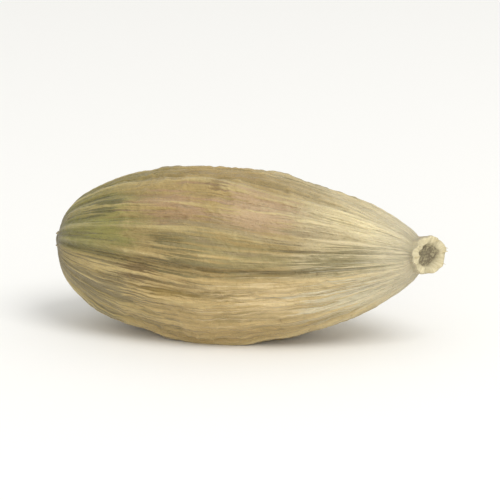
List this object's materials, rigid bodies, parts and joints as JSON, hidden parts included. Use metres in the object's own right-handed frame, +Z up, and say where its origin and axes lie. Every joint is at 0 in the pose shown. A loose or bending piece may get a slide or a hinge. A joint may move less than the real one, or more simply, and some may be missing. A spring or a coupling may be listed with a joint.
{
  "type": "green cardamom pod",
  "caption": "Whole dried green cardamom pod: a plump ribbed spindle with three shallow lobes, a blunt flower tip at one end and a short cut stalk at the other, lying on its side.",
  "frame": {"origin": "bottom centre of the pod's box, on the surface it rests on", "axes": "+X from the flower tip towards the cut stalk, +Z up, -Y the side with the visible groove between two lobes"},
  "size_m": [0.0188, 0.0084, 0.0079],
  "materials": {
    "husk": "dry, papery and dull, with pale ribs over green-tan skin"
  },
  "bodies": {
    "root": {"cardamom_pod": "husk"}
  },
  "joints": []
}
